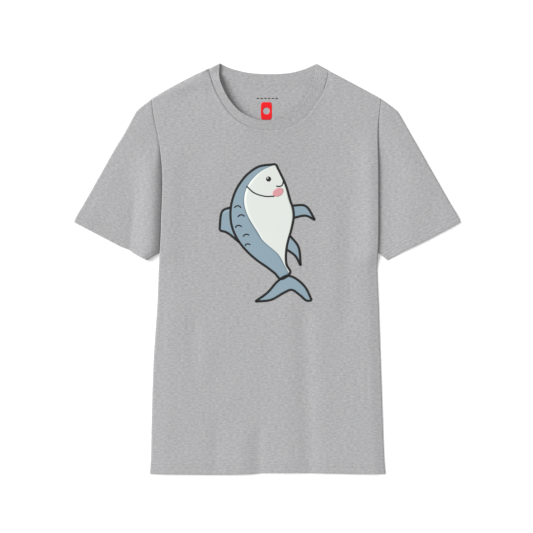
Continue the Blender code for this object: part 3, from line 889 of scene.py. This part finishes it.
def make_band_surface():
    """The band as a closed ring: u from 0 to a half is the front, then the back; v from its free edge to
    its seam. At both shoulders it goes round a small fold."""
    front_half, back_half = band_half(front_seam, front_edge), band_half(back_seam, back_edge)
    ends = [(front_seam(np.array(t)), front_edge(np.array(t))) for t in (0.0, 1.0)]

    def past_fold(plan):
        found = np.full(plan.shape[:-1], np.inf)
        for start, end in ends:
            way = (end - start) / np.linalg.norm(end - start)
            off = np.abs((plan[..., 0] - start[0]) * way[1] - (plan[..., 1] - start[1]) * way[0])
            found = np.minimum(found, off)
        return found

    def drawn_in(plan, t):
        """Near a shoulder the band is drawn in by half its wall, so that its fold ends on the outline."""
        near = bell(np.minimum(t, 1.0 - t) / DRAWN_SHARE)[..., None]
        return plan - near * np.array([0.0, DRAWN_IN])

    def surface(u, v):
        turn = np.mod(u, 1.0) * 2.0
        t = np.where(turn <= 1.0, turn, 2.0 - turn)
        high, flat = drawn_in(front_half(t, v), t), drawn_in(back_half(t, v), t)
        end = (t == 0) | (t == 1)
        off_high = np.where(end, 0.0, past_fold(front_half(t, v)))
        off_low = np.where(end, 0.0, past_fold(back_half(t, v)))
        middle = BAND_MIDDLE
        sunk = BAND_SUNK * smooth((v - 0.75) / 0.25)
        height = front_height(high[..., 0], high[..., 1]) + BAND_PROUD - sunk
        height = middle + (np.maximum(height, middle + BAND_LEAST) - middle) * rounded(off_high / TOP_ROLL)
        under = middle - (middle - BAND_ON_TABLE) * rounded(off_low / UNDER_ROLL)
        upper_side = turn <= 1.0
        plan = np.where(upper_side[..., None], high, flat)
        return np.concatenate([plan, np.where(upper_side, height, under)[..., None]], axis=-1)

    return surface


band_surface = make_band_surface()
probe_u = np.linspace(0.0, 1.0, 2001)
ring = band_surface(probe_u, np.full(2001, 0.5))
ring_length = np.concatenate([[0.0], np.cumsum(np.linalg.norm(np.diff(ring[:, :2], axis=0), axis=1))])
ribs = round(ring_length[-1] / RIB_PITCH)
columns = ribs * POINTS_PER_RIB
u = np.interp(np.arange(columns) / columns * ring_length[-1], ring_length, probe_u)
raw_edge = RIB_WIDTH - TURN_RADIUS        # where the outside layer ends, counted from the end of the turn
rows = turned_rows(raw_edge, np.append(np.linspace(1.0, raw_edge - 0.4, 11), raw_edge), 0.0)
print("ring of the band, mm:", round(ring_length[-1], 1), "ribs:", ribs)


def rib_relief(distance, x, facing, side):
    """A cosine across the ribs, which run from the free edge to the seam, on whichever layer shows."""
    rib = np.cos(np.arange(columns) * math.tau / POINTS_PER_RIB)
    return RIB_RELIEF * rib * side * smooth(2.0 * facing * side)


points, grid_u, grid_v = turned_sheet(band_surface, u, rows, RIB_WIDTH, 1, rib_relief)
around = np.interp(grid_u, probe_u, ring_length)
across = np.where((rows[2] < 0)[:, None], -1.0, 1.0) * grid_v * RIB_WIDTH
faces = grid_faces(*grid_u.shape, around=True)[:, ::-1]
flat_points = points.reshape(-1, 3)
pattern = np.stack([around, across], axis=-1).reshape(-1, 2)
neckband = put_mesh("neckband_rib", flat_points, faces, pattern, [rib_knit], wall=RIB_WALL)
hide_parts("neckband")

# %% [markdown]
# ## Stitching
#
# The hems are sewn with a twin needle, which leaves two rows of short stitches on the outside. Each
# stitch is a bowed bit of thread whose ends dive into the cloth. They could be a bump in the cloth's
# material, but real thread catches the light on its own. All of them are one mesh from one array: a
# small tube, repeated along lines that are read from the hems' own surfaces.

# %% Stitches
STITCH_PITCH, STITCH_LENGTH = 3.2, 2.7
THREAD_RADIUS = 0.2
RINGS, SIDES = 7, 6


def sewn_line(surface, u, length, from_edge, sign):
    """A line on the outside of a hem, `from_edge` mm from its edge, with its outward normals."""
    size = length(u) if callable(length) else length
    v = from_edge / size * np.ones(u.shape)
    line = surface(u, v)
    out = sign * normals_of(surface, u, v)
    up = smooth(2.0 * out[..., 2:])
    sunk = JERSEY / 2 + PROUD * up - STITCH_DEPTH - 0.25 * THREAD_RADIUS * (1 - up)
    return line + sunk * out, out


def stitches_along(line, out):
    """Tubes along a line, one to each pitch: a ring of points at each of RINGS places, whose centres
    rise in a bow between the two needle holes and whose radius is drawn in at both."""
    length = np.concatenate([[0.0], np.cumsum(np.linalg.norm(np.diff(line, axis=0), axis=1))])
    count = int(length[-1] / STITCH_PITCH)
    share = np.linspace(0.0, 1.0, RINGS)
    place = (np.arange(count)[:, None] + 0.5) * STITCH_PITCH + (share - 0.5) * STITCH_LENGTH
    centre, normal = (
        np.stack([np.interp(place, length, values[:, i]) for i in range(3)], axis=-1)
        for values in (line, out)
    )
    ahead = np.gradient(centre, axis=1)
    ahead = ahead / np.linalg.norm(ahead, axis=-1, keepdims=True)
    side = np.cross(normal, ahead)
    bow = (np.sin(np.pi * share) - 0.6)[None, :, None]
    centre = centre + THREAD_RADIUS * bow * normal
    angle = np.arange(SIDES) / SIDES * math.tau
    radius = THREAD_RADIUS * (0.35 + 0.65 * np.sqrt(np.sin(np.pi * share)))[None, :, None, None]
    ring = np.cos(angle)[:, None] * side[..., None, :] + np.sin(angle)[:, None] * normal[..., None, :]
    tubes = centre[..., None, :] + radius * ring
    turn = np.broadcast_to(angle / math.tau * THREAD_RADIUS * 6.0, tubes.shape[:-1])
    cut = np.stack([np.broadcast_to(place[..., None], tubes.shape[:-1]), turn], axis=-1)
    return tubes.reshape(-1, 3), cut.reshape(-1, 2), count


def tube_faces():
    """The faces of one stitch: its wall, and each end closed by two quads."""
    wall = grid_faces(RINGS, SIDES, around=True)
    first = np.array([[3, 2, 1, 0], [5, 4, 3, 0]])
    last = (RINGS - 1) * SIDES + np.array([[0, 1, 2, 3], [0, 3, 4, 5]])
    return np.vstack([wall, first, last])


fine = np.linspace(0.004, 0.996, 1200)
sewn = [(front_surface, fine, BODY_LENGTH, row, 1) for row in HEM_STITCHES]
sewn += [(back_surface, fine, BODY_LENGTH, row, -1) for row in HEM_STITCHES]
for surface, length, sign in ((right_surface, right_length, -1), (left_surface, left_length, 1)):
    for layer in (0.0, 0.5):
        for row in CUFF_STITCHES:
            sewn.append((surface, layer + fine / 2, length, row, -sign))
parts = [stitches_along(*sewn_line(*one)) for one in sewn]
each = tube_faces()
points = np.vstack([part[0] for part in parts])
pattern = np.vstack([part[1] for part in parts])
total = sum(part[2] for part in parts)
faces = (np.arange(total)[:, None, None] * RINGS * SIDES + each).reshape(-1, 4)
put_mesh("hem_stitching", points, faces, pattern, [thread])
print("stitches:", total)

# %% [markdown]
# ## The print
#
# A one-off picture on a shirt is screen-printed: each colour is a film of soft plastic ink, about a tenth
# of a millimetre thick, laid on the knit. A painted texture would do for a far view. Here each colour is
# a thin sheet of its own, worked out from the front's height, so its edges stay sharp. The picture is a
# plain leaping fish, built from patches between two curves and from ribbons of line.

# %% Ink
# Plastisol ink: an even, slightly rubbery matt film that lets the knit under it show as a faint relief.
INK_WALL = 0.06


def ink(name, dark, light):
    """A film of ink with painted light and shade, a trace lighter on the loops of the knit than between
    them.
    """
    material, tree, shader = new_material(name, 0.62, Specular_IOR_Level=0.3)
    cut = add(tree, "ShaderNodeUVMap", uv_map="cut").outputs["UV"]
    knit = knit_relief(tree, cut, WALE, COURSE)
    # The knit's relief also sets the ink's colour: painted shade between the loops and painted light on
    # their tops.
    loop_shade = add(tree, "ShaderNodeMapRange", {"Value": knit, "From Min": -2.0, "From Max": 2.0})
    colour = ramp(tree, loop_shade.outputs["Result"], [(0.1, dark), (0.7, light)])
    tree.links.new(colour, shader.inputs["Base Color"])
    bump = add(tree, "ShaderNodeBump", {"Height": knit, "Strength": 0.6, "Distance": 0.02 * MM})
    tree.links.new(bump.outputs["Normal"], shader.inputs["Normal"])
    return material


white_ink = ink("off-white plastisol ink", "#DDE2DD", "#E8EDE8")
blue_ink = ink("blue-grey plastisol ink", "#8AA1AE", "#94ABB8")
pink_ink = ink("pink plastisol ink", "#D8989C", "#E3A3A7")
black_ink = ink("soft black plastisol ink", "#1E1E1E", "#272727")
red_ink = ink("red plastisol ink", "#EA0C13", "#F7161D")

# %% Patches of film


def between(first, second, count_along, count_across=9):
    """A patch ruled between two curves."""
    t = np.linspace(0.0, 1.0, count_along)
    a, b = first(t), second(t)
    return a[:, None] + np.linspace(0.0, 1.0, count_across)[None, :, None] * (b - a)[:, None]


def ribbon(points, width):
    """A line of even width along a smooth curve, with round ends."""
    line = curve_through(points)
    length = np.linalg.norm(np.diff(line(np.linspace(0.0, 1.0, 400)), axis=0), axis=1).sum()
    end = width / 2 * (1 - np.cos(np.linspace(0, np.pi / 2, 5)))[:-1]
    middle = np.linspace(width / 2, length - width / 2, max(int(length / LINE_STEP), 5))
    run = np.concatenate([end, middle, length - end[::-1]])
    half = width / 2 * np.maximum(rounded(np.minimum(run, length - run) / (width / 2)), 0.04)
    ahead = line(np.clip(run / length + 0.002, 0, 1)) - line(np.clip(run / length - 0.002, 0, 1))
    side = np.stack([-ahead[:, 1], ahead[:, 0]], axis=-1) / np.linalg.norm(ahead, axis=1, keepdims=True)
    aside = half[:, None] * np.linspace(-1.0, 1.0, 4)
    return line(run / length)[:, None] + aside[..., None] * side[:, None]


def disc(centre, radius, stretch=1.0, lean=0.0):
    """A round or oval patch: a square net whose sides are bowed out to the circle, so it has no pole."""
    a, b = np.meshgrid(np.linspace(-1, 1, 9), np.linspace(-1, 1, 9))
    x, y = radius * a * np.sqrt(1 - b * b / 2), radius * stretch * b * np.sqrt(1 - a * a / 2)
    c, s = math.cos(lean), math.sin(lean)
    return np.stack([centre[0] + c * x - s * y, centre[1] + s * x + c * y], axis=-1)


def film(name, patches, height, lift, material, closed=False):
    """One piece of ink: its patches, set `lift` mm above the face of the cloth under them. A closed patch
    is a ring, whose last row meets its first."""
    points, faces, start = [], [], 0
    for patch in patches:
        flat = patch.reshape(-1, 2)
        z = height(flat[:, 0], flat[:, 1]) + JERSEY / 2 + lift
        points.append(np.column_stack([flat, z]))
        cells = grid_faces(*patch.shape[:2], closed_rows=closed)
        a, b, c, d = (flat[cells[:, i]] for i in range(4))
        turn = np.cross(c - a, d - b)
        cells = np.where(turn[:, None] < 0, cells[:, ::-1], cells)
        faces.append(cells + start)
        start += len(flat)
    points, faces = np.vstack(points), np.vstack(faces)
    return put_mesh(name, points, faces, points[:, :2], [material], wall=INK_WALL)


# %% The fish
SPINE = [(14, 187), (0, 158), (-9, 122), (-8, 84), (2, 44), (18, 10), (33, -12)]
HALF_WIDTHS = [
    (0, 3), (5, 19), (12, 33), (22, 45), (36, 55), (50, 56), (64, 46), (78, 29), (90, 15), (100, 10),
]                               # in mm, at hundredths of the way along the spine
LINE_WIDTH, THIN_LINE, LINE_STEP = 4.2, 2.4, 2.5
UNDER, BODY, DETAIL, LINES, GLINT = 0.07, 0.14, 0.21, 0.28, 0.35       # mm of lift of each film
spine, width_curve = curve_through(SPINE), curve_through(HALF_WIDTHS)
width_points = width_curve(np.linspace(0, 1, 200))


def on_fish(t, s):
    """A point of the fish: t from nose to tail along the spine, s from -1 on its back to 1 on its belly."""
    t, s = np.broadcast_arrays(np.asarray(t, float), s)
    ahead = spine(np.clip(t + 0.01, 0, 1)) - spine(np.clip(t - 0.01, 0, 1))
    side = np.stack([-ahead[..., 1], ahead[..., 0]], axis=-1) / np.linalg.norm(ahead, axis=-1, keepdims=True)
    half = np.interp(100 * t, width_points[:, 0], width_points[:, 1])
    return spine(t) + (s * half)[..., None] * side


def flank(t):
    """Where the back's colour meets the belly's, as s along the fish."""
    return -0.42 - 0.25 * np.sin(2.2 * np.pi * t) + 1.3 * smooth((t - 0.62) / 0.38)


def fin(start, end, side, tip, sweep):
    """A fin on one side of the body, from `start` to `end` along it, between a leading and a trailing
    edge that meet at its tip. Both bend by `sweep`."""
    tip, sweep = np.array(tip, float), np.array(sweep, float)
    front, rear = on_fish(start, side), on_fish(end, side)
    lead = [front, (front + tip) / 2 + sweep, tip]
    trail = [tip, (rear + tip) / 2 + 0.5 * sweep, rear]
    back_way = curve_through(trail)
    shape = between(curve_through(lead), lambda t: back_way(1.0 - t), 16)
    return shape, ribbon(lead, LINE_WIDTH), ribbon(trail, LINE_WIDTH)


def arc(t, s, size):
    """A scale's edge: an arc across the fish that bulges towards its nose."""
    turn = np.linspace(-1.0, 1.0, 7)
    return ribbon(on_fish(t + 0.4 * size * turn**2, s + size * 3.2 * turn), THIN_LINE)


belly = between(lambda t: on_fish(t, flank(t)), lambda t: on_fish(t, 1.0), 60, 18)
backside = between(lambda t: on_fish(t, -1.0), lambda t: on_fish(t, flank(t)), 60, 10)
fins = [
    fin(0.38, 0.62, -1.0, (-86, 70), (-6, 12)),
    fin(0.34, 0.50, 1.0, (86, 88), (4, 12)),
    fin(0.68, 0.80, 1.0, (60, 6), (6, 6)),
]
TAIL_FRONT = [(-22, -58), (0, -42), (18, -22), (34, -12), (50, -16), (68, -32), (80, -56)]
TAIL_REAR = [(-22, -58), (6, -55), (30, -42), (44, -37), (58, -46), (70, -56), (80, -56)]
tail = between(curve_through(TAIL_FRONT), curve_through(TAIL_REAR), 40)
share = np.linspace(0.0, 1.0, 15)
nose = on_fish(0.0, 0.0) + (1.2, 2.2)
outline = [nose, *on_fish(share, -1.0), *on_fish(share[::-1], 1.0), nose]
eye = on_fish(0.13, 0.02)
details = [
    ribbon(on_fish(np.array([0.235, 0.27, 0.28, 0.26]), np.array([-0.72, -0.35, 0.05, 0.42])), THIN_LINE),
    ribbon(on_fish(np.array([0.085, 0.135, 0.16, 0.165]), np.array([0.98, 0.78, 0.6, 0.45])), THIN_LINE),
    disc(eye, 4.6),
]
details += [
    arc(along_it, across_it, 0.035)
    for along_it, across_it in ((0.37, -0.78), (0.43, -0.66), (0.50, -0.80), (0.57, -0.66), (0.64, -0.80))
]
lines = [ribbon(outline, LINE_WIDTH), ribbon(TAIL_FRONT, LINE_WIDTH), ribbon(TAIL_REAR, LINE_WIDTH)]
lines += [edge for shape in fins for edge in shape[1:]]
film("print_fins", [tail] + [shape[0] for shape in fins], front_height, UNDER, blue_ink)
film("print_back", [backside], front_height, BODY, blue_ink)
film("print_belly", [belly], front_height, BODY, white_ink)
film("print_cheek", [disc(on_fish(0.215, 0.55), 10.5, 0.7, 0.5)], front_height, DETAIL, pink_ink)
film("print_lines", lines + details, front_height, LINES, black_ink)
film("print_glint", [disc(eye + (-1.4, 1.6), 1.3)], front_height, GLINT, white_ink)

# %% [markdown]
# ## The neck mark
#
# Size and maker are printed inside the back of the neck. Here it is a plain red block with a round hole
# and a row of dashes.

# %% Neck mark
MARK_CENTRE, MARK_SIZE = (-1.5, 284.8), (20.2, 32.0)
turn = np.arange(64) / 64 * math.tau
way = np.stack([np.cos(turn), np.sin(turn)], axis=-1)
half = np.array(MARK_SIZE) / 2
rim = np.abs(way) ** 0.35 * np.sign(way) * half
hole = 6.0 * way
block = np.array(MARK_CENTRE) + hole[:, None] + np.linspace(0, 1, 7)[None, :, None] * (rim - hole)[:, None]
dashes = [
    np.stack(np.meshgrid(np.linspace(x, x + 4.6, 4), np.linspace(306.7, 308.3, 3)), axis=-1)
    for x in np.linspace(-19.0, 14.4, 6)
]
film("neck_mark_red", [block], back_height, 0.10, red_ink, closed=True)
film("neck_mark_dashes", dashes, back_height, 0.10, black_ink)

# %% Camera, light and floor
VIEW_WIDTH = 959.4              # mm of the table that the camera sees
VIEW_CENTRE = (-1.4, 5.0)
LENS = 100.0
camera = bpy.data.objects.new("camera", bpy.data.cameras.new("camera"))
camera.data.lens = LENS
camera.data.sensor_width = 36.0
camera.data.clip_end = 20.0
camera.location = (VIEW_CENTRE[0] * MM, VIEW_CENTRE[1] * MM, VIEW_WIDTH * MM * LENS / 36.0)
bpy.context.scene.collection.objects.link(camera)
bpy.context.scene.camera = camera
bpy.context.scene.view_settings.view_transform = "Standard"

sun = bpy.data.objects.new("softbox", bpy.data.lights.new("softbox", "SUN"))
sun.data.energy = 2.95
sun.data.angle = math.radians(36)
sun.rotation_euler = (0.0, math.radians(-50), math.radians(-22))
bpy.context.scene.collection.objects.link(sun)
world = bpy.data.worlds.new("studio")
world.use_nodes = True
world.node_tree.nodes["Background"].inputs["Color"].default_value = (1.0, 1.0, 1.0, 1.0)
world.node_tree.nodes["Background"].inputs["Strength"].default_value = 0.42
bpy.context.scene.world = world

TABLE_TOP = -0.05 * MM          # a hair below the cloth, whose own wall rests at zero
table_mesh = bpy.data.meshes.new("table")
corners = [(x, y, TABLE_TOP) for x, y in ((-3, -3), (3, -3), (3, 3), (-3, 3))]
table_mesh.from_pydata(corners, [], [(0, 1, 2, 3)])
table = bpy.data.objects.new("table", table_mesh)
paper, _, paper_shader = new_material("white paper", 0.9)
paper_shader.inputs["Base Color"].default_value = srgb("#F2F2F2")
paper_shader.inputs["Emission Color"].default_value = (1.0, 1.0, 1.0, 1.0)
paper_shader.inputs["Emission Strength"].default_value = 0.21
table_mesh.materials.append(paper)
bpy.context.scene.collection.objects.link(table)
